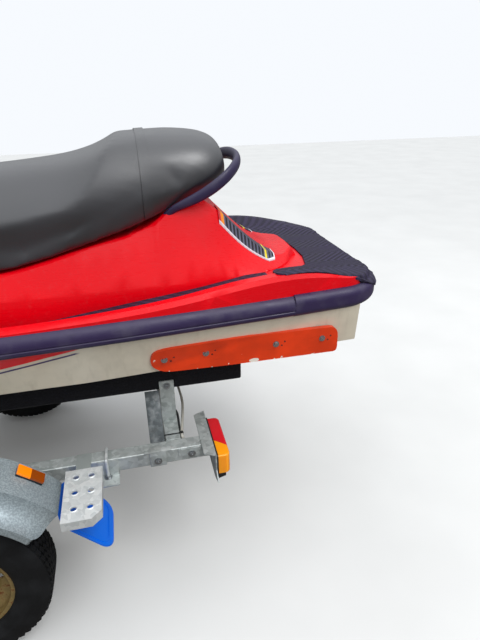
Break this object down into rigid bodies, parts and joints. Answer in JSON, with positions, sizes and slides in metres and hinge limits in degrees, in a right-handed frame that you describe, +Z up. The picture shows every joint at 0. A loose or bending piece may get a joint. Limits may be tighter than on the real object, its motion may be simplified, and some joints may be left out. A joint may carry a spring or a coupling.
{
  "type": "personal watercraft on a boat trailer",
  "caption": "Sit-on personal watercraft with a long stepped seat, jet pump and handlebar steering, parked on a braced boat trailer with winch, lamps and jockey wheel.",
  "frame": {"origin": "on the floor under the middle of the whole length and width, trailer included", "axes": "+X towards the bow and the trailer coupling, +Y to port, +Z up"},
  "size_m": [3.956, 1.52, 1.5443],
  "materials": {
    "red_gelcoat": "glossy moulded fibreglass, worn",
    "cream_gelcoat": "satin moulded fibreglass",
    "purple_rubber": "satin",
    "orange_plastic": "painted, chipped",
    "mat_rubber": "ribbed foam rubber",
    "seat_vinyl": "vinyl-coated fabric over foam",
    "purple_plastic": "satin moulded",
    "black_plastic": "matte",
    "black_rubber": "matte",
    "stainless": "brushed",
    "cast_aluminium": "cast",
    "galvanised_steel": "hot-dip galvanised, dull",
    "coupling_steel": "zinc plated, dull",
    "mudguard_paint": "satin, flecked",
    "rim_paint": "worn, rusty",
    "tyre_rubber": "matte",
    "wheel_rubber": "matte",
    "blue_plastic": "satin",
    "bunk_carpet": "timber covered with dark carpet",
    "red_lens": "glossy",
    "amber_lens": "glossy"
  },
  "bodies": {
    "craft_and_trailer": {"deck": "red_gelcoat", "hull": "cream_gelcoat", "rubbing_rail": "purple_rubber", "stern_cap": "purple_rubber", "sponsons": "orange_plastic", "rear_mat": "mat_rubber", "footwell_mats": "mat_rubber", "seat": "seat_vinyl", "seat_strap": "seat_vinyl", "grab_handle": "purple_plastic", "instrument_cowl": "purple_plastic", "storage_tray": "black_plastic", "trim_strips": "black_plastic", "lamp_housings": "black_plastic", "bow_stop": "black_rubber", "bow_eye": "stainless", "stern_eyes": "stainless", "engine_block": "cast_aluminium", "pump_housing": "cast_aluminium", "ride_plate": "cast_aluminium", "intake_grate": "cast_aluminium", "side_rail_port": "galvanised_steel", "side_rail_starboard": "galvanised_steel", "cross_member_rear": "galvanised_steel", "cross_member_front": "galvanised_steel", "drawbar": "galvanised_steel", "axle": "galvanised_steel", "mudguard_stays": "galvanised_steel", "step_plates": "galvanised_steel", "bunk_brackets": "galvanised_steel", "u_bolts": "galvanised_steel", "lamp_brackets": "galvanised_steel", "winch_post": "galvanised_steel", "winch_frame": "galvanised_steel", "jockey_tube": "galvanised_steel", "coupling": "coupling_steel", "mudguard_port": "mudguard_paint", "mudguard_starboard": "mudguard_paint", "mud_flaps": "blue_plastic", "bunks": "bunk_carpet", "tail_lenses": "red_lens", "indicator_lenses": "amber_lens", "reflectors": "amber_lens"},
    "road_wheel_port": {"wheel_port": "rim_paint", "tyre_port": "tyre_rubber"},
    "road_wheel_starboard": {"wheel_starboard": "rim_paint", "tyre_starboard": "tyre_rubber"},
    "steering": {"handlebar": "stainless", "grips": "black_rubber"},
    "nozzle": {"steering_nozzle": "cast_aluminium"},
    "impeller": {"impeller": "stainless"},
    "bow_lid": {"bow_lid": "red_gelcoat"},
    "winch_crank": {"winch_crank": "galvanised_steel"},
    "winch_drum": {"winch_drum": "galvanised_steel"},
    "jockey_stem": {"jockey_stem": "galvanised_steel"},
    "jockey_fork": {"jockey_fork": "galvanised_steel"},
    "jockey_wheel": {"jockey_wheel": "wheel_rubber"}
  },
  "joints": [
    {"name": "wheel_port_spin", "type": "hinge", "parent": "craft_and_trailer", "child": "road_wheel_port", "pos_m": [-0.543, 0.637, 0.268], "axis": [0, 1, 0], "continuous": true},
    {"name": "wheel_starboard_spin", "type": "hinge", "parent": "craft_and_trailer", "child": "road_wheel_starboard", "pos_m": [-0.543, -0.637, 0.268], "axis": [0, 1, 0], "continuous": true},
    {"name": "steer", "type": "hinge", "parent": "craft_and_trailer", "child": "steering", "pos_m": [0.04, 0, 1.392], "axis": [-0.4067, 0, 0.9135], "range_deg": [-25, 25]},
    {"name": "nozzle_steer", "type": "hinge", "parent": "craft_and_trailer", "child": "nozzle", "pos_m": [-1.846, 0, 0.69], "axis": [0, 0, 1], "range_deg": [-20, 20]},
    {"name": "impeller_spin", "type": "hinge", "parent": "craft_and_trailer", "child": "impeller", "pos_m": [-1.612, 0, 0.69], "axis": [1, 0, 0], "continuous": true},
    {"name": "bow_lid_hinge", "type": "hinge", "parent": "craft_and_trailer", "child": "bow_lid", "pos_m": [0.56, 0, 1.146], "axis": [0, 1, 0], "range_deg": [0, 55]},
    {"name": "winch_crank_spin", "type": "hinge", "parent": "craft_and_trailer", "child": "winch_crank", "pos_m": [0.943, 0, 1.103], "axis": [0, 1, 0], "continuous": true},
    {"name": "winch_drum_spin", "type": "hinge", "parent": "craft_and_trailer", "child": "winch_drum", "pos_m": [0.901, 0, 1.077], "axis": [0, 1, 0], "continuous": true},
    {"name": "jockey_lift", "type": "slide", "parent": "craft_and_trailer", "child": "jockey_stem", "axis": [0, 0, 1], "range_m": [0, 0.19]},
    {"name": "jockey_swivel", "type": "hinge", "parent": "jockey_stem", "child": "jockey_fork", "pos_m": [1.48, -0.092, 0.222], "axis": [0, 0, 1], "continuous": true},
    {"name": "jockey_wheel_spin", "type": "hinge", "parent": "jockey_fork", "child": "jockey_wheel", "pos_m": [1.442, -0.092, 0.1], "axis": [0, 1, 0], "continuous": true}
  ],
  "couplings": [
    {"joint": "nozzle_steer", "follows": "steer", "ratio": -0.8},
    {"joint": "winch_drum_spin", "follows": "winch_crank_spin", "ratio": -0.4}
  ]
}
